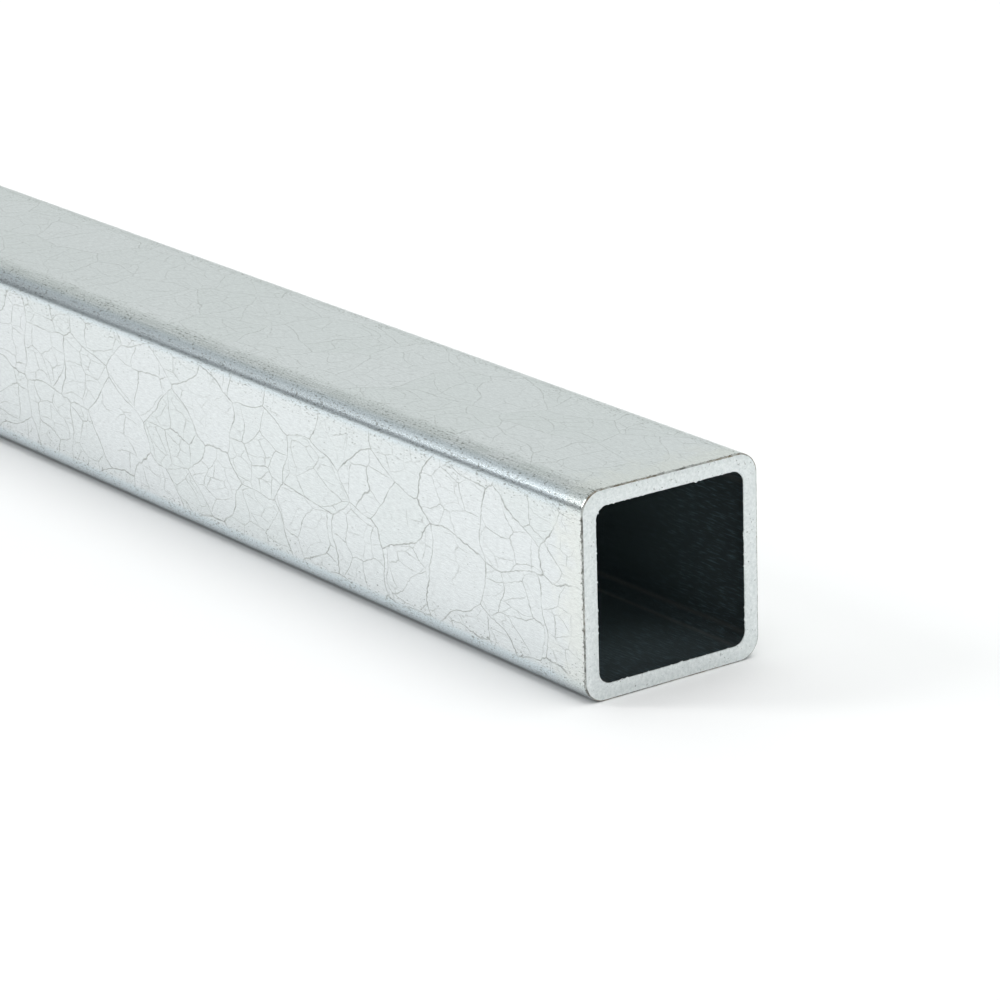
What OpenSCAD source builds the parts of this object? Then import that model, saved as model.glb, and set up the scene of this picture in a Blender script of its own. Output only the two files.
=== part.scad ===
// Square steel tube: cold formed from strip, galvanised, and sawn square to a stock length.
// It lies along X on the plane Z = 0, and its middle is over the origin.

/* [Section] */
// Outside width of each of the four sides, in mm
side = 25; // [20:1:40]
// Thickness of the flat walls
wall = 2; // [1.5:0.1:3]
// Radius of the four outside corners
outer_r = 2.7; // [2:0.1:4]
// Radius of the four corners of the bore, where the strip thickened as it was bent
bore_r = 1.6; // [0.8:0.1:3]

/* [Length] */
// Length between the two sawn ends
length = 1000; // [200:50:3000]

/* [Sawn ends] */
// Edge break round the outside of each sawn end
outer_break = 0.15; // [0.05:0.05:0.4]
// Edge break round the bore at each sawn end
bore_break = 0.1; // [0.05:0.05:0.4]

/* [Hidden] */
// Segments in a full circle
$fn = 96;
// How far the bore's cutter runs past each sawn end
overrun = 1;
bore = side - 2 * wall;
zinc = [0.83, 0.86, 0.86];

// One edge of a bar seen from the side, from end to end: half the width, less an inset over as
// much depth at both ends. A negative inset flares the ends instead.
function broken_edge(half, len, inset) =
    let (depth = abs(inset))
    [[half - inset, 0], [half, depth], [half, len - depth], [half - inset, len]];

// The same edge on the other side of the axis, from the far end back.
function mirrored(points) = [for (i = [len(points) - 1:-1:0]) [-points[i].x, points[i].y]];

// The flat sides of a bar that face along X, between their rounded corners.
module flat_sides(width, r, len, inset) {
    edge = broken_edge(width / 2, len, inset);
    rotate([90, 0, 0])
        linear_extrude(width - 2 * r, center = true)
            polygon(concat(edge, mirrored(edge)));
}

// One rounded corner of a bar: a quarter column that fills the space between two flat sides.
module rounded_corner(width, r, len, inset) {
    translate([width / 2 - r, width / 2 - r, 0])
        rotate_extrude(angle = 90)
            polygon(concat([[0, 0]], broken_edge(r, len, inset), [[0, len]]));
}

// A solid square bar on the plane Z = 0, with rounded corners and broken edges at both ends.
module rounded_bar(width, r, len, inset) {
    flat_sides(width, r, len, inset);
    rotate([0, 0, 90]) flat_sides(width, r, len, inset);
    for (turn = [0:90:270])
        rotate([0, 0, turn]) rounded_corner(width, r, len, inset);
}

// The bar stands on its sawn end here, so that its edges and its bore are worked the same way.
module sawn_tube() {
    difference() {
        rounded_bar(side, outer_r, length, outer_break);
        translate([0, 0, -overrun])
            rounded_bar(bore, bore_r, length + 2 * overrun, -(bore_break + overrun));
    }
}

module square_tube() {
    color(zinc)
        translate([-length / 2, 0, side / 2])
            rotate([0, 90, 0])
                sawn_tube();
}

square_tube();
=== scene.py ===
"""A length of galvanised square steel tube, lying on a pale floor and seen towards one sawn end.

The tube runs along X, its end in the photograph is at the high end of X, and the floor is Z = 0.
Sizes are in metres unless their names end in _MM. The angles of the camera and of the softbox are
in degrees.
"""
import math

import bmesh
import bpy
from mathutils import Euler, Matrix, Vector, noise


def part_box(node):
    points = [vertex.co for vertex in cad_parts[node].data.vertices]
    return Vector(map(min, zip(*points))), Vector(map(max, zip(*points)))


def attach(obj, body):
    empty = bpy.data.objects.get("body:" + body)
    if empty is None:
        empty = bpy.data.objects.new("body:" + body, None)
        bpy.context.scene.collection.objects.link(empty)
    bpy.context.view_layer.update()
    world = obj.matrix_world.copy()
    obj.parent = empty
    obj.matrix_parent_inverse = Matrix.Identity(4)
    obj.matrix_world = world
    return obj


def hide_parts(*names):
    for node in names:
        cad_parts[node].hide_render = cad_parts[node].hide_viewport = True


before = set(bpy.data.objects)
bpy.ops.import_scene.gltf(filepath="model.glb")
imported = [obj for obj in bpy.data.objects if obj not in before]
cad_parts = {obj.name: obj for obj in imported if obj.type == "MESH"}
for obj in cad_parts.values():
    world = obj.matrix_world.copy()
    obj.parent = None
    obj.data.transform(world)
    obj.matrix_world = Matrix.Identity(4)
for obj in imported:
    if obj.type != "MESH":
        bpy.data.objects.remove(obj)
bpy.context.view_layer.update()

MM = 0.001
NODE = "square_tube"

# Places that follow from the frame
tube_low, tube_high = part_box(NODE)
LENGTH = tube_high.x - tube_low.x
SIDE = tube_high.z - tube_low.z
MIDDLE_X = (tube_low.x + tube_high.x) / 2
NEAR_END = tube_high.x
AXIS_HEIGHT = (tube_low.z + tube_high.z) / 2

# The section and the sawn ends, as in the part's source
WALL = 2 * MM
OUTER_RADIUS = 2.7 * MM
BORE_RADIUS = 1.6 * MM
OUTER_BREAK = 0.15 * MM
BORE_BREAK = 0.1 * MM
# From the middle of a flat side to where its corner starts
OUTER_FLAT = SIDE / 2 - OUTER_RADIUS
BORE_FLAT = SIDE / 2 - WALL - BORE_RADIUS
# One face and one corner of the outside, measured along the skin
QUARTER = 2 * OUTER_FLAT + OUTER_RADIUS * math.pi / 2

# How finely the tube is meshed
CORNER_STEPS = 20
FLAT_STEPS = 130
BREAK_STEPS = 2
FIRST_STATION = 0.4 * MM
STATION_GROWTH = 1.8
LAST_STATION_GAP = 30 * MM
SHARP_ANGLE = math.radians(32)
# The faces meet at more than this along a rim of a sawn end
RIM_ANGLE = math.radians(60)
# The normal of a sawn face has more than this along X
CUT_NORMAL = 0.9

# What the saw left at the ends. Both the wander and the burr fade over the depth from the cut.
RIM_WANDER = 0.035 * MM
RIM_WANDER_SIZE = 0.9 * MM
BURR_HEIGHT = 0.3 * MM
BURR_WIDTH = 0.26 * MM
BURR_DEPTH = 0.5 * MM
# A burr stands where smooth noise from -1 to 1 is above this
BURR_RARITY = 0.26
# How far a burr leans out of the end, for each step into the bore
BURR_LEAN = 0.2
# Where the noise is read at each end, so that the two ends differ
WANDER_START = 10
BURR_START = 3

# The camera, fitted to the edges of the photographed end. Its place is counted from the foot of
# that end, in the middle of the tube's width.
CAMERA_FROM_END_MM = (376.02, -294.42, 179.21)
CAMERA_AZIMUTH = 54.23
CAMERA_ELEVATION = 18.21
CAMERA_ROLL = 1.69
CAMERA_LENS_MM = 161.56
SENSOR_MM = 36
CAMERA_CLIP_START = 0.01
CAMERA_CLIP_END = 100

# The name of the UV map, which counts in metres
SKIN = "skin"


def linear(hex_code):
    """An sRGB hex colour as linear red, green, blue and alpha."""
    parts = [int(hex_code[i:i + 2], 16) / 255 for i in (0, 2, 4)]
    curve = [c / 12.92 if c <= 0.04045 else ((c + 0.055) / 1.055) ** 2.4 for c in parts]
    return (*curve, 1.0)


def add(tree, kind, inputs=None, **settings):
    """Adds one node. An input is found by its name, or its number where names repeat.

    It is set from a value, or linked from a socket, or from the first output of another node.
    """
    node = tree.nodes.new(kind)
    for name, value in settings.items():
        setattr(node, name, value)
    for key, value in (inputs or {}).items():
        live = [s for s in node.inputs if s.enabled]
        socket = live[key] if isinstance(key, int) else [s for s in live if s.name == key][0]
        if isinstance(value, bpy.types.Node):
            value = [s for s in value.outputs if s.enabled][0]
        if isinstance(value, bpy.types.NodeSocket):
            tree.links.new(value, socket)
        else:
            socket.default_value = value
    return node


# Mesh of the tube

# The finishes, in the order of the tube's material slots
ZINC, BORE, CUT, EDGE = range(4)


def of_kind(geom, kind):
    """The verts or the faces among what a mesh operator made."""
    return [g for g in geom if isinstance(g, kind)]


def bore_place(t):
    """Where a distance from the axis lands when the outline is drawn in to the bore."""
    flat = min(abs(t), OUTER_FLAT)
    past = abs(t) - flat
    return math.copysign(flat * BORE_FLAT / OUTER_FLAT + past * BORE_RADIUS / OUTER_RADIUS, t)


def sawn_face(bm, x):
    """The cut face at x: a ring of quads between the outline and the bore, in an empty mesh."""
    upright = Matrix.Translation((x, 0, AXIS_HEIGHT)) @ Matrix.Rotation(math.pi / 2, 4, "Y")
    square = bmesh.ops.create_grid(bm, x_segments=1, y_segments=1, size=SIDE / 2, matrix=upright)
    bmesh.ops.bevel(
        bm, geom=square["verts"], offset=OUTER_RADIUS, offset_type="OFFSET",
        segments=CORNER_STEPS, profile=0.5, affect="VERTICES", material=-1)
    bmesh.ops.delete(bm, geom=bm.faces[:], context="FACES_ONLY")
    flats = [e for e in bm.edges if e.calc_length() > OUTER_RADIUS]
    bmesh.ops.subdivide_edges(bm, edges=flats, cuts=FLAT_STEPS - 1)
    drawn_in = bmesh.ops.extrude_edge_only(bm, edges=bm.edges[:])["geom"]
    for vert in of_kind(drawn_in, bmesh.types.BMVert):
        vert.co.y = bore_place(vert.co.y)
        vert.co.z = AXIS_HEIGHT + bore_place(vert.co.z - AXIS_HEIGHT)
    return bm.faces[:]


def station_gaps():
    """Gaps between the rings from one end to the other: small at the sawn ends, wide between."""
    growing = [FIRST_STATION]
    while growing[-1] * STATION_GROWTH < LAST_STATION_GAP:
        growing.append(growing[-1] * STATION_GROWTH)
    middle = LENGTH - 2 * sum(growing)
    count = math.ceil(middle / LAST_STATION_GAP)
    return growing + [middle / count] * count + growing[::-1]


def draw_out(bm, far_face):
    """Draws the walls of the tube out of its far face, ring by ring, up to a near face."""
    section = far_face
    for gap in station_gaps():
        drawn = bmesh.ops.extrude_face_region(bm, geom=section)["geom"]
        bmesh.ops.translate(bm, verts=of_kind(drawn, bmesh.types.BMVert), vec=(gap, 0, 0))
        if section is not far_face:
            bmesh.ops.delete(bm, geom=section, context="FACES")
        section = of_kind(drawn, bmesh.types.BMFace)


def outside(place):
    """Whether a place is on the outer half of the wall."""
    return max(abs(place.y), abs(place.z - AXIS_HEIGHT)) > SIDE / 2 - WALL / 2


def break_rims(bm, on_outside, size):
    """Rounds the edges where the sawn faces meet the outer skin, or the bore."""
    rims = [e for e in bm.edges if e.calc_face_angle(0) > RIM_ANGLE]
    rims = [e for e in rims if outside(e.verts[0].co) == on_outside]
    return bmesh.ops.bevel(
        bm, geom=rims, offset=size, offset_type="OFFSET", segments=BREAK_STEPS, profile=0.5,
        affect="EDGES", material=-1)["faces"]


def give_finishes(bm, outer_break, bore_break):
    """Gives each face its finish. The broken edge of the bore is as bare as the cut."""
    for face in bm.faces:
        face.smooth = True
        if abs(face.normal.x) > CUT_NORMAL:
            face.material_index = CUT
        else:
            face.material_index = ZINC if outside(face.calc_center_median()) else BORE
    for face in outer_break:
        face.material_index = EDGE
    for face in bore_break:
        face.material_index = CUT


def skin_distance(y, z, side):
    """Distance along the outline from the middle of the top, positive towards +Y.

    The outline's seam is under the middle of the bottom, where side says which way round to count.
    Deep in its corners the bore is measured as the outside is, so that its faces join there.
    """
    deep_in_corner = abs(y) > OUTER_FLAT and abs(z) > OUTER_FLAT
    in_bore = max(abs(y), abs(z)) < SIDE / 2 - WALL / 2
    flat, radius = OUTER_FLAT, OUTER_RADIUS
    if in_bore and not deep_in_corner:
        flat, radius = BORE_FLAT, BORE_RADIUS
    turns = round(math.atan2(y, z) / (math.pi / 2))
    if abs(turns) == 2:
        turns = math.copysign(2, side)
    angle = turns * math.pi / 2
    across = y * math.cos(angle) - z * math.sin(angle)
    up = y * math.sin(angle) + z * math.cos(angle)
    along = min(abs(across), flat)
    if abs(across) > flat:
        along += radius * math.atan2(abs(across) - flat, up - flat)
    return math.copysign(along, across) + turns * QUARTER


def unroll_skin(bm):
    """A UV map in metres: along the tube, and round its section."""
    layer = bm.loops.layers.uv.new(SKIN)
    for face in bm.faces:
        side = face.calc_center_median().y
        for loop in face.loops:
            x, y, z = loop.vert.co
            if face.material_index == CUT:
                loop[layer].uv = (y, z)
            else:
                loop[layer].uv = (x, skin_distance(y, z - AXIS_HEIGHT, side))


def burr(end, place):
    """How far a flag of burr stands into the bore here: rare, narrow, and otherwise nothing."""
    peak = noise.noise(Vector((end * BURR_START, place.y, place.z)) / BURR_WIDTH)
    return BURR_HEIGHT * max(0, peak - BURR_RARITY) / (1 - BURR_RARITY)


def roughen_rims(bm):
    """The rims wander a little from the saw, and a few flags of burr stand into the bore."""
    for vert in bm.verts:
        off_middle = vert.co.x - MIDDLE_X
        depth = LENGTH / 2 - abs(off_middle)
        if depth > BURR_DEPTH:
            continue
        fade = 1 - depth / BURR_DEPTH
        end = math.copysign(1, off_middle)
        inward = Vector((0, -vert.co.y, AXIS_HEIGHT - vert.co.z)).normalized()
        read_at = Vector((end * WANDER_START, vert.co.y / RIM_WANDER_SIZE,
                          vert.co.z / RIM_WANDER_SIZE))
        vert.co += inward * RIM_WANDER * fade * max(0, noise.noise(read_at))
        if not outside(vert.co):
            leaning = inward + Vector((end * BURR_LEAN, 0, 0))
            vert.co += leaning * burr(end, vert.co) * fade


def tube_mesh():
    """The whole tube as one closed skin."""
    bm = bmesh.new()
    draw_out(bm, sawn_face(bm, tube_low.x))
    outer_break = break_rims(bm, True, OUTER_BREAK)
    bore_break = break_rims(bm, False, BORE_BREAK)
    bmesh.ops.recalc_face_normals(bm, faces=bm.faces)
    give_finishes(bm, outer_break, bore_break)
    unroll_skin(bm)
    roughen_rims(bm)
    mesh = bpy.data.meshes.new("tube")
    bm.to_mesh(mesh)
    bm.free()
    mesh.set_sharp_from_angle(angle=SHARP_ANGLE)
    return mesh


# Finishes

# The zinc cracked into large plates with smaller ones inside them. Each net of cracks has the size
# of its plates, and how far a crack reaches to each side of its middle.
LARGE_PLATE = 8.2 * MM
LARGE_CRACK = 0.105 * MM
MEDIUM_PLATE = 4.3 * MM
MEDIUM_CRACK = 0.09 * MM
SMALL_PLATE = 2.1 * MM
SMALL_CRACK = 0.08 * MM
PLATE_RANDOMNESS = 0.82
# How far the finer net is moved at most, by another amount on each plate
PLATE_SHIFT = 0.2
CRACK_DEPTH = 0.003 * MM

# Fine textures. The real ones are finer than a pixel, which is about 0.11 mm at the end of the
# tube, so these are drawn coarser.
DASH_SIZE = 0.15 * MM
CORNER_GRAIN_SIZE = 0.17 * MM
DRAW_LINE_SIZE = 0.14 * MM
STREAK_SIZE = 0.22 * MM
SAWN_GRAIN_SIZE = 0.45 * MM
# Their relief
CORNER_GRAIN_HEIGHT = 0.0055 * MM
STREAK_HEIGHT = 0.05 * MM
SAWN_GRAIN_HEIGHT = 0.01 * MM


def new_material(name):
    """An empty material with one shader, and its node tree."""
    material = bpy.data.materials.new(name)
    material.use_nodes = True
    tree = material.node_tree
    return material, tree, tree.nodes["Principled BSDF"]


def crack_layer(tree, place, size, reach):
    """One net of cracks: the crack here, a mask inside its plates, and a colour for each plate.

    The mask fades a finer net beside these cracks.
    """
    net = {"Vector": place, "Scale": 1 / size, "Randomness": PLATE_RANDOMNESS}
    gap = add(tree, "ShaderNodeTexVoronoi", net, voronoi_dimensions="2D",
              feature="DISTANCE_TO_EDGE")
    line = add(tree, "ShaderNodeMapRange",
               {"Value": gap, "From Max": reach / size, "To Min": 1.0, "To Max": 0.0},
               interpolation_type="SMOOTHSTEP")
    plate = add(tree, "ShaderNodeTexVoronoi", net, voronoi_dimensions="2D", feature="F1")
    inside = add(tree, "ShaderNodeMapRange",
                 {"Value": gap, "From Min": 0.1 * MM / size, "From Max": 0.8 * MM / size,
                  "To Min": 0.35})
    return line, inside, plate.outputs["Color"]


def stretch(tree, place, times):
    """The place, with its distance along the tube multiplied."""
    return add(tree, "ShaderNodeVectorMath", {0: place, 1: (times, 1.0, 1.0)}, operation="MULTIPLY")


def wander(tree, place, size, reach):
    """The place, pushed about by smooth noise of the given size."""
    push = add(tree, "ShaderNodeTexNoise", {"Vector": place, "Scale": 1 / size, "Detail": 1.0},
               noise_dimensions="2D")
    centred = add(tree, "ShaderNodeVectorMath", {0: push.outputs["Color"], 1: (0.5, 0.5, 0.5)},
                  operation="SUBTRACT")
    return add(tree, "ShaderNodeVectorMath", {0: centred, 1: (2 * reach, 2 * reach, 0), 2: place},
               operation="MULTIPLY_ADD")


def moved_with(tree, place, plate):
    """The place, moved by another amount on each plate, so that a finer net stops at its edges."""
    return add(tree, "ShaderNodeVectorMath", {0: plate, 1: (PLATE_SHIFT, PLATE_SHIFT, 0), 2: place},
               operation="MULTIPLY_ADD")


def crackle(tree, skin):
    """The net of cracks: how strong the crack is here, and random numbers for each large plate.

    Large plates have rounded sides. Smaller plates lie inside them, and all are drawn out along
    the tube, the smallest most.
    """
    drawn_out = stretch(tree, skin, 0.78)
    bent = wander(tree, drawn_out, 7 * MM, 1.7 * MM)
    ragged = wander(tree, bent, 0.6 * MM, 0.14 * MM)
    large, in_large, large_plate = crack_layer(tree, ragged, LARGE_PLATE, LARGE_CRACK)
    on_large = moved_with(tree, ragged, large_plate)
    medium, in_medium, medium_plate = crack_layer(tree, on_large, MEDIUM_PLATE, MEDIUM_CRACK)
    on_medium = stretch(tree, moved_with(tree, on_large, medium_plate), 0.6)
    small = crack_layer(tree, on_medium, SMALL_PLATE, SMALL_CRACK)[0]

    large_random = add(tree, "ShaderNodeSeparateColor", {0: large_plate})
    medium_random = add(tree, "ShaderNodeSeparateColor", {0: medium_plate})
    medium_shown = add(tree, "ShaderNodeMapRange",
                       {"Value": large_random, "From Min": 0.1, "From Max": 0.35, "To Max": 0.9})
    small_shown = add(tree, "ShaderNodeMapRange",
                      {"Value": medium_random, "From Min": 0.25, "From Max": 0.75, "To Max": 0.65})
    for mask in (medium_shown, in_large):
        medium = add(tree, "ShaderNodeMath", {0: medium, 1: mask}, operation="MULTIPLY")
    for mask in (small_shown, in_large, in_medium):
        small = add(tree, "ShaderNodeMath", {0: small, 1: mask}, operation="MULTIPLY")
    finer = add(tree, "ShaderNodeMath", {0: medium, 1: small}, operation="MAXIMUM")
    every = add(tree, "ShaderNodeMath", {0: large, 1: finer}, operation="MAXIMUM")
    return every, large_random


def tinted(tree, colour, factor, tint):
    """The colour, mixed towards a tint."""
    return add(tree, "ShaderNodeMix", {"Factor": factor, "A": colour, "B": linear(tint)},
               data_type="RGBA")


def zinc_coat():
    """Hot-dip zinc, drawn through the rolls: pale and satin, and crackled where the coat bent."""
    material, tree, shader = new_material("galvanised_zinc")
    skin = add(tree, "ShaderNodeUVMap", uv_map=SKIN)
    split = add(tree, "ShaderNodeSeparateXYZ", {0: skin})
    along, round_it = split.outputs["X"], split.outputs["Y"]

    # Distances along the skin: from the middle of a face, from the nearest level face, from the
    # middle of the top, and from the cut
    from_middle = add(tree, "ShaderNodeMath", {0: round_it, 1: QUARTER / 2}, operation="PINGPONG")
    from_level = add(tree, "ShaderNodeMath", {0: round_it, 1: QUARTER}, operation="PINGPONG")
    from_top = add(tree, "ShaderNodeMath", {0: round_it}, operation="ABSOLUTE")
    from_centre = add(tree, "ShaderNodeMath", {0: along, 1: MIDDLE_X}, operation="SUBTRACT")
    out_from_centre = add(tree, "ShaderNodeMath", {0: from_centre}, operation="ABSOLUTE")
    from_cut = add(tree, "ShaderNodeMath", {0: LENGTH / 2, 1: out_from_centre}, operation="SUBTRACT")

    # Cracks come and go along their length, stop short of the corners and thin out at the cut
    crack, plate_random = crackle(tree, skin)
    fading = add(tree, "ShaderNodeTexNoise", {"Vector": skin, "Scale": 1 / (3 * MM), "Detail": 2.0},
                 noise_dimensions="2D")
    kept = add(tree, "ShaderNodeMapRange",
               {"Value": fading, "From Min": 0.35, "From Max": 0.55, "To Min": 0.5, "To Max": 1.0})
    on_flat = add(tree, "ShaderNodeMapRange",
                  {"Value": from_middle, "From Min": OUTER_FLAT - 0.2 * MM,
                   "From Max": OUTER_FLAT + 0.7 * MM, "To Min": 1.0, "To Max": 0.0},
                  interpolation_type="SMOOTHSTEP")
    off_top = add(tree, "ShaderNodeMapRange",
                  {"Value": from_level, "From Min": OUTER_FLAT, "From Max": QUARTER / 2,
                   "To Min": 0.5, "To Max": 1.0})
    uneven = add(tree, "ShaderNodeMath", {0: fading, 1: 9 * MM, 2: -4.5 * MM}, operation="MULTIPLY_ADD")
    from_cut_uneven = add(tree, "ShaderNodeMath", {0: from_cut, 1: uneven}, operation="ADD")
    off_cut = add(tree, "ShaderNodeMapRange",
                  {"Value": from_cut_uneven, "From Min": 1 * MM, "From Max": 6 * MM, "To Min": 0.25},
                  interpolation_type="SMOOTHSTEP")
    for mask in (kept, on_flat, off_top, off_cut):
        crack = add(tree, "ShaderNodeMath", {0: crack, 1: mask}, operation="MULTIPLY")

    # Fine dashes from the rolls all over, and a coarser grain where the corners were drawn
    dashes = add(tree, "ShaderNodeTexNoise",
                 {"Vector": stretch(tree, skin, 0.14), "Scale": 1 / DASH_SIZE, "Detail": 2.0,
                  "Roughness": 0.6}, noise_dimensions="2D")
    dash_tone = add(tree, "ShaderNodeMapRange",
                    {"Value": dashes, "From Min": 0.3, "From Max": 0.7, "To Min": 0.91,
                     "To Max": 1.07})
    grain = add(tree, "ShaderNodeTexNoise",
                {"Vector": stretch(tree, skin, 0.7), "Scale": 1 / CORNER_GRAIN_SIZE, "Detail": 1.0},
                noise_dimensions="2D")
    grain_tone = add(tree, "ShaderNodeMapRange",
                     {"Value": grain, "From Min": 0.3, "From Max": 0.7, "To Min": 0.84,
                      "To Max": 1.12})
    on_corner = add(tree, "ShaderNodeMapRange",
                    {"Value": from_middle, "From Min": OUTER_FLAT - 0.3 * MM,
                     "From Max": OUTER_FLAT + 0.6 * MM}, interpolation_type="SMOOTHSTEP")
    texture_tone = add(tree, "ShaderNodeMix", {"Factor": on_corner, "A": dash_tone, "B": grain_tone},
                       data_type="FLOAT")

    # Dark scuffs beside the corners, in patches
    specks = add(tree, "ShaderNodeTexNoise",
                 {"Vector": stretch(tree, skin, 0.4), "Scale": 1 / (0.24 * MM), "Detail": 2.0},
                 noise_dimensions="2D")
    beside_corner = add(tree, "ShaderNodeMapRange",
                        {"Value": from_middle, "From Min": OUTER_FLAT - 3 * MM,
                         "From Max": OUTER_FLAT + 0.3 * MM, "To Max": 0.13})
    patches = add(tree, "ShaderNodeMath", {0: fading, 1: 0.25, 2: beside_corner},
                  operation="MULTIPLY_ADD")
    speck_level = add(tree, "ShaderNodeMath", {0: specks, 1: patches}, operation="ADD")
    scuffs = add(tree, "ShaderNodeMapRange",
                 {"Value": speck_level, "From Min": 0.88, "From Max": 0.95, "To Max": 0.7})

    # Thin draw lines on the shoulder of each corner
    draw_noise = add(tree, "ShaderNodeTexNoise",
                     {"Vector": stretch(tree, skin, 0.03), "Scale": 1 / DRAW_LINE_SIZE, "Detail": 1.0},
                     noise_dimensions="2D")
    draw_lines = add(tree, "ShaderNodeMapRange",
                     {"Value": draw_noise, "From Min": 0.4, "From Max": 0.62, "To Min": 1.0,
                      "To Max": 0.0})
    past_flat = add(tree, "ShaderNodeMapRange",
                    {"Value": from_level, "From Min": OUTER_FLAT - 0.9 * MM,
                     "From Max": OUTER_FLAT + 0.1 * MM, "To Max": 0.4},
                    interpolation_type="SMOOTHSTEP")
    short_of_side = add(tree, "ShaderNodeMapRange",
                        {"Value": from_level, "From Min": QUARTER / 2 - 0.4 * MM,
                         "From Max": QUARTER / 2 + 0.2 * MM, "To Min": 1.0, "To Max": 0.0},
                        interpolation_type="SMOOTHSTEP")
    on_shoulder = add(tree, "ShaderNodeMath", {0: past_flat, 1: short_of_side}, operation="MULTIPLY")
    shoulder_lines = add(tree, "ShaderNodeMath", {0: draw_lines, 1: on_shoulder}, operation="MULTIPLY")

    # The coat gets a painted bluish reflection on the side half of each corner, painted shade along the
    # bottom corners and away from the ends, and is a little yellow by the cut
    past_half = add(tree, "ShaderNodeMapRange",
                    {"Value": from_level, "From Min": QUARTER / 2 - 0.9 * MM,
                     "From Max": QUARTER / 2 + 0.2 * MM}, interpolation_type="SMOOTHSTEP")
    # Painted reflection: the side half of each corner is tinted blue, as if it mirrored a bluish wall in
    # front
    painted_reflection_mask = add(tree, "ShaderNodeMath", {0: past_half, 1: on_corner}, operation="MULTIPLY")
    # Painted shade: the bottom corners are darkened, as if they mirrored the shadow where the tube meets
    # the floor
    painted_low_shade_mask = add(tree, "ShaderNodeMapRange",
                     {"Value": from_top, "From Min": QUARTER + OUTER_FLAT,
                      "From Max": QUARTER + OUTER_FLAT + 2.5 * MM, "To Max": 0.8},
                     interpolation_type="SMOOTHSTEP")
    by_cut = add(tree, "ShaderNodeMapRange",
                 {"Value": from_cut_uneven, "From Min": 1 * MM, "From Max": 7 * MM, "To Min": 0.45,
                  "To Max": 0.0}, interpolation_type="SMOOTHSTEP")

    # Spots of tarnish that reach back from the cut
    spot_noise = add(tree, "ShaderNodeTexNoise",
                     {"Vector": skin, "Scale": 1 / (0.4 * MM), "Detail": 3.0, "Roughness": 0.7},
                     noise_dimensions="2D")
    spot_reach = add(tree, "ShaderNodeMapRange",
                     {"Value": from_cut, "From Min": 0.1 * MM, "From Max": 0.8 * MM, "To Min": 0.15,
                      "To Max": -0.2})
    spot_level = add(tree, "ShaderNodeMath", {0: spot_noise, 1: spot_reach}, operation="ADD")
    spots = add(tree, "ShaderNodeMapRange",
                {"Value": spot_level, "From Min": 0.58, "From Max": 0.66, "To Max": 0.8})

    plate_tone = add(tree, "ShaderNodeMix",
                     {"Factor": plate_random.outputs["Green"], "A": linear("E0E5E5"),
                      "B": linear("E4E8E9")}, data_type="RGBA")
    # Painted blue reflection on the side half of the corners
    with_painted_reflection = tinted(tree, plate_tone, painted_reflection_mask, "DAE4E8")
    yellowed = tinted(tree, with_painted_reflection, by_cut, "E7E9E1")
    cornered = tinted(tree, yellowed, shoulder_lines, "B9C1BE")
    # Painted shade along the bottom corners
    with_painted_low_shade = tinted(tree, cornered, painted_low_shade_mask, "B4BBBF")
    # Painted shade: the coat is darkened a little away from the ends, and the tone carries this together
    # with the grain
    painted_far_shade = add(tree, "ShaderNodeMapRange",
                   {"Value": from_cut, "From Min": 60 * MM, "From Max": 130 * MM, "To Min": 1.0,
                    "To Max": 0.95})
    tone = add(tree, "ShaderNodeMath", {0: texture_tone, 1: painted_far_shade}, operation="MULTIPLY")
    coat = add(tree, "ShaderNodeVectorMath", {0: with_painted_low_shade, "Scale": tone}, operation="SCALE")
    scuffed = tinted(tree, coat, scuffs, "80847F")
    cracked = tinted(tree, scuffed, crack, "9EA29E")
    spotted = tinted(tree, cracked, spots, "55554E")
    tree.links.new(spotted.outputs["Result"], shader.inputs["Base Color"])

    # Shallow grooves where the coat cracked, and the grain that breaks up the highlight
    grain_height = add(tree, "ShaderNodeMath", {0: grain, 1: CORNER_GRAIN_HEIGHT}, operation="MULTIPLY")
    height = add(tree, "ShaderNodeMath", {0: crack, 1: -CRACK_DEPTH, 2: grain_height},
                 operation="MULTIPLY_ADD")
    bump = add(tree, "ShaderNodeBump", {"Strength": 1.0, "Distance": 1.0, "Height": height})
    tree.links.new(bump.outputs[0], shader.inputs["Normal"])
    shader.inputs["Metallic"].default_value = 1.0
    shader.inputs["Roughness"].default_value = 0.26
    return material


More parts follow.
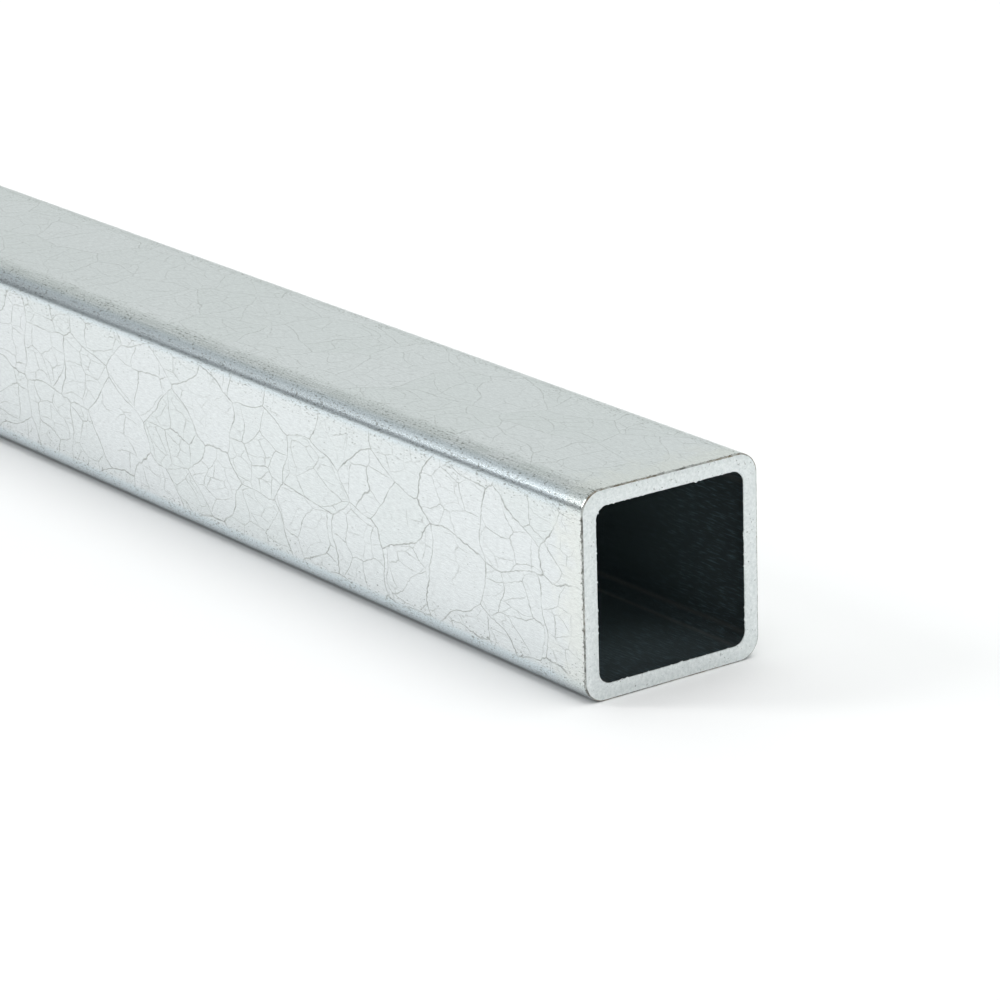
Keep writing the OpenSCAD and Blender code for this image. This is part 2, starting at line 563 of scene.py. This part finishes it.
def bore_scale():
    """Black mill scale, left inside by the hot strip: dull and dark, with drawn streaks.

    Painted light makes it dark at the cut and much paler deeper in, and a painted highlight lies along
    its inner corners.
    """
    material, tree, shader = new_material("black_mill_scale")
    skin = add(tree, "ShaderNodeUVMap", uv_map=SKIN)
    split = add(tree, "ShaderNodeSeparateXYZ", {0: skin})
    along, round_it = split.outputs["X"], split.outputs["Y"]
    streaks = add(tree, "ShaderNodeTexNoise",
                  {"Vector": stretch(tree, skin, 0.12), "Scale": 1 / STREAK_SIZE, "Detail": 3.0,
                   "Roughness": 0.6}, noise_dimensions="2D")
    streaked = add(tree, "ShaderNodeMapRange", {"Value": streaks, "From Min": 0.52, "From Max": 0.74})
    from_middle = add(tree, "ShaderNodeMath", {0: round_it, 1: QUARTER / 2}, operation="PINGPONG")
    from_bend = add(tree, "ShaderNodeMath", {0: from_middle, 1: BORE_FLAT + 0.2 * MM},
                    operation="SUBTRACT")
    off_bend = add(tree, "ShaderNodeMath", {0: from_bend}, operation="ABSOLUTE")
    # Painted highlight: a paler band along each inner corner fillet, where the fillet catches the light
    painted_fillet_highlight = add(tree, "ShaderNodeMapRange",
                 {"Value": off_bend, "From Min": 0, "From Max": 0.5 * MM, "To Min": 0.6,
                  "To Max": 0.0}, interpolation_type="SMOOTHSTEP")
    from_centre = add(tree, "ShaderNodeMath", {0: along, 1: MIDDLE_X}, operation="SUBTRACT")
    out_from_centre = add(tree, "ShaderNodeMath", {0: from_centre}, operation="ABSOLUTE")
    # Painted light: the scale is painted dark at the cut and up to five times paler deeper in, making up
    # for the light that falls off inside the bore
    painted_depth_light = add(tree, "ShaderNodeMapRange",
                     {"Value": out_from_centre, "From Min": LENGTH / 2, "From Max": LENGTH / 2 - 30 * MM,
                      "To Min": 0.55, "To Max": 5.0})
    by_mouth = add(tree, "ShaderNodeMapRange",
                   {"Value": out_from_centre, "From Min": LENGTH / 2 - 22 * MM, "From Max": LENGTH / 2},
                   interpolation_type="SMOOTHSTEP")
    tone = add(tree, "ShaderNodeMath", {0: streaked, 1: by_mouth}, operation="MULTIPLY")
    colour = add(tree, "ShaderNodeMix",
                 {"Factor": tone, "A": linear("333B3D"), "B": linear("5B6E74")}, data_type="RGBA")
    # Painted highlight along the fillets
    with_painted_fillet_highlight = tinted(tree, colour, painted_fillet_highlight, "535453")
    # Painted light, paler deeper in the bore
    with_painted_depth_light = add(tree, "ShaderNodeVectorMath", {0: with_painted_fillet_highlight, "Scale": painted_depth_light}, operation="SCALE")
    tree.links.new(with_painted_depth_light.outputs["Vector"], shader.inputs["Base Color"])
    bump_height = add(tree, "ShaderNodeMath", {0: streaks, 1: STREAK_HEIGHT}, operation="MULTIPLY")
    bump = add(tree, "ShaderNodeBump", {"Strength": 1.0, "Distance": 1.0, "Height": bump_height})
    tree.links.new(bump.outputs[0], shader.inputs["Normal"])
    shader.inputs["Roughness"].default_value = 0.42
    return material


def sawn_steel():
    """Bare steel as the saw left it: bright, flat and finely grained, with a few dark pits."""
    material, tree, shader = new_material("sawn_steel")
    place = add(tree, "ShaderNodeTexCoord").outputs["Object"]
    grain = add(tree, "ShaderNodeTexNoise",
                {"Vector": place, "Scale": 1 / SAWN_GRAIN_SIZE, "Detail": 3.0, "Roughness": 0.8})
    tone = add(tree, "ShaderNodeMapRange", {"Value": grain, "From Min": 0.3, "From Max": 0.7})
    face = add(tree, "ShaderNodeMix",
               {"Factor": tone, "A": linear("D1D7D7"), "B": linear("ECF0F0")}, data_type="RGBA")
    speckle = add(tree, "ShaderNodeTexNoise", {"Vector": place, "Scale": 1 / (0.35 * MM), "Detail": 1.0})
    pits = add(tree, "ShaderNodeMapRange",
               {"Value": speckle, "From Min": 0.7, "From Max": 0.75, "To Max": 0.6})
    pitted = tinted(tree, face, pits, "7C7E7C")
    tree.links.new(pitted.outputs["Result"], shader.inputs["Base Color"])
    rise = add(tree, "ShaderNodeMath", {0: grain, 1: SAWN_GRAIN_HEIGHT}, operation="MULTIPLY")
    bump = add(tree, "ShaderNodeBump", {"Strength": 1.0, "Distance": 1.0, "Height": rise})
    tree.links.new(bump.outputs[0], shader.inputs["Normal"])
    shader.inputs["Metallic"].default_value = 1.0
    shader.inputs["Roughness"].default_value = 0.45
    return material


def edge_shade_and_tarnish():
    """The broken edge of the zinc at the cut: a thin dark line, part painted shade and part the zinc's
    own edge, that comes and goes, brown in places.
    """
    material, tree, shader = new_material("edge_shade_and_tarnish")
    place = add(tree, "ShaderNodeTexCoord").outputs["Object"]
    patches = add(tree, "ShaderNodeTexNoise",
                  {"Vector": place, "Scale": 1 / (1.2 * MM), "Detail": 6.0, "Roughness": 0.85})
    tone = add(tree, "ShaderNodeMapRange", {"Value": patches, "From Min": 0.4, "From Max": 0.62})
    heat = add(tree, "ShaderNodeTexNoise", {"Vector": place, "Scale": 1 / (7 * MM), "Detail": 0.0})
    browned = add(tree, "ShaderNodeMapRange", {"Value": heat, "From Min": 0.45, "From Max": 0.6})
    # Painted shade of the broken edge, brown with heat tint in places
    dark = add(tree, "ShaderNodeMix",
               {"Factor": browned, "A": linear("5C5C57"), "B": linear("76674F")}, data_type="RGBA")
    colour = add(tree, "ShaderNodeMix", {"Factor": tone, "A": dark, "B": linear("C2C5C3")},
                 data_type="RGBA")
    tree.links.new(colour.outputs["Result"], shader.inputs["Base Color"])
    shader.inputs["Metallic"].default_value = 0.8
    shader.inputs["Roughness"].default_value = 0.5
    return material


def make_tube():
    """The tube, with its four finishes."""
    tube = bpy.data.objects.new("galvanised_tube", tube_mesh())
    bpy.context.scene.collection.objects.link(tube)
    for material in (zinc_coat(), bore_scale(), sawn_steel(), edge_shade_and_tarnish()):
        tube.data.materials.append(material)
    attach(tube, "root")
    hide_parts(NODE)


# Studio

FLOOR_HALF_WIDTH = 15

# Brightness of the studio, where 1 is the white of the picture
BACK_WALL_TINT = (0.96, 1.0, 0.985)
FRONT_WALL_TINT = (0.94, 0.985, 1.0)
BACK_WALL_LOW = 0.80
BACK_WALL_HIGH = 0.62
FRONT_WALL_LOW = 0.19
FRONT_WALL_HIGH = 0.60
OVERHEAD = 2.6
# The overhead light has a grid under it, so the metal mirrors it dimmer than it lights the floor
OVERHEAD_MIRRORED = 1.0
SOFTBOX = 7.6

# Where each change of brightness starts and ends. For the walls it is the sine of the elevation,
# from the back to the front it is the Y of the direction, and for the rim of the overhead light it
# is the cosine of the angle from its middle.
BACK_WALL_CHANGE = (0.34, 0.68)
FRONT_WALL_CHANGE = (0.29, 0.7)
BACK_TO_FRONT = (0.1, -0.4)
OVERHEAD_RIM = (0.835, 0.9)
# The overhead light hangs a little past the tube's end
OVERHEAD_TOWARDS = (0.15, 0.05, 1)
# The softbox stands on the left in front: the directions of its edges, and how far away it is
SOFTBOX_AZIMUTHS = (-139, -125)
SOFTBOX_ELEVATIONS = (18, 44)
SOFTBOX_DISTANCE = 4


def make_floor():
    """A wide sheet of white paper under the tube, which shows its soft shadow."""
    bm = bmesh.new()
    bmesh.ops.create_grid(bm, x_segments=1, y_segments=1, size=FLOOR_HALF_WIDTH)
    mesh = bpy.data.meshes.new("floor")
    bm.to_mesh(mesh)
    bm.free()
    floor = bpy.data.objects.new("floor", mesh)
    bpy.context.scene.collection.objects.link(floor)
    material, _, shader = new_material("white_paper")
    shader.inputs["Base Color"].default_value = linear("F4F4F4")
    shader.inputs["Roughness"].default_value = 0.8
    mesh.materials.append(material)


def make_world():
    """A pale room with a large soft light overhead, and a shaded wall in front of the tube."""
    world = bpy.data.worlds.new("studio")
    world.use_nodes = True
    tree = world.node_tree
    direction = add(tree, "ShaderNodeTexCoord").outputs["Generated"]
    split = add(tree, "ShaderNodeSeparateXYZ", {0: direction})
    sideways, up = split.outputs["Y"], split.outputs["Z"]
    back_wall = add(tree, "ShaderNodeMapRange",
                    {"Value": up, "From Min": BACK_WALL_CHANGE[0],
                     "From Max": BACK_WALL_CHANGE[1], "To Min": BACK_WALL_LOW,
                     "To Max": BACK_WALL_HIGH})
    front_wall = add(tree, "ShaderNodeMapRange",
                     {"Value": up, "From Min": FRONT_WALL_CHANGE[0],
                      "From Max": FRONT_WALL_CHANGE[1], "To Min": FRONT_WALL_LOW,
                      "To Max": FRONT_WALL_HIGH})
    in_front = add(tree, "ShaderNodeMapRange",
                   {"Value": sideways, "From Min": BACK_TO_FRONT[0],
                    "From Max": BACK_TO_FRONT[1]},
                   interpolation_type="SMOOTHSTEP")
    walls = add(tree, "ShaderNodeMix", {"Factor": in_front, "A": back_wall, "B": front_wall},
                data_type="FLOAT")
    tint = add(tree, "ShaderNodeMix",
               {"Factor": in_front, "A": BACK_WALL_TINT, "B": FRONT_WALL_TINT}, data_type="VECTOR")
    room = add(tree, "ShaderNodeVectorMath", {0: tint, "Scale": walls}, operation="SCALE")
    nearness = add(tree, "ShaderNodeVectorMath",
                   {0: direction, 1: Vector(OVERHEAD_TOWARDS).normalized()}, operation="DOT_PRODUCT")
    overhead = add(tree, "ShaderNodeMapRange",
                   {"Value": nearness, "From Min": OVERHEAD_RIM[0], "From Max": OVERHEAD_RIM[1]},
                   interpolation_type="SMOOTHSTEP")
    mirrored = add(tree, "ShaderNodeLightPath").outputs["Is Glossy Ray"]
    brightness = add(tree, "ShaderNodeMapRange",
                     {"Value": mirrored, "To Min": OVERHEAD, "To Max": OVERHEAD_MIRRORED})
    colour = add(tree, "ShaderNodeMix", {"Factor": overhead, "A": room, "B": brightness},
                 data_type="RGBA")
    tree.links.new(colour.outputs["Result"], tree.nodes["Background"].inputs["Color"])
    bpy.context.scene.world = world


def make_softbox():
    """The softbox that draws the bright line along the front corner."""
    left, right = (math.radians(a) for a in SOFTBOX_AZIMUTHS)
    low, high = (math.radians(e) for e in SOFTBOX_ELEVATIONS)
    azimuth, elevation = (left + right) / 2, (low + high) / 2
    light = bpy.data.lights.new("softbox", "AREA")
    light.shape = "RECTANGLE"
    flat = math.cos(elevation)
    light.size = 2 * SOFTBOX_DISTANCE * flat * math.tan((right - left) / 2)
    light.size_y = 2 * SOFTBOX_DISTANCE * math.tan((high - low) / 2)
    light.energy = SOFTBOX * math.pi * light.size * light.size_y
    holder = bpy.data.objects.new("softbox", light)
    towards = Vector((flat * math.cos(azimuth), flat * math.sin(azimuth), math.sin(elevation)))
    holder.location = Vector((NEAR_END, 0, AXIS_HEIGHT)) + towards * SOFTBOX_DISTANCE
    holder.rotation_mode = "QUATERNION"
    holder.rotation_quaternion = towards.to_track_quat("Z", "Y")
    holder.visible_camera = False
    bpy.context.scene.collection.objects.link(holder)


def make_camera():
    """The camera, where it stood for the photograph."""
    data = bpy.data.cameras.new("camera")
    data.lens = CAMERA_LENS_MM
    data.sensor_width = SENSOR_MM
    data.clip_start = CAMERA_CLIP_START
    data.clip_end = CAMERA_CLIP_END
    camera = bpy.data.objects.new("camera", data)
    foot = Matrix.Translation((NEAR_END, 0, tube_low.z))
    place = Matrix.Translation(Vector(CAMERA_FROM_END_MM) * MM)
    turn = Euler((math.radians(90 - CAMERA_ELEVATION), 0, math.radians(CAMERA_AZIMUTH)))
    roll = Matrix.Rotation(-math.radians(CAMERA_ROLL), 4, "Z")
    camera.matrix_world = foot @ place @ turn.to_matrix().to_4x4() @ roll
    bpy.context.scene.collection.objects.link(camera)
    bpy.context.scene.camera = camera


make_tube()
make_floor()
make_world()
make_softbox()
make_camera()
bpy.context.scene.view_settings.view_transform = "Standard"
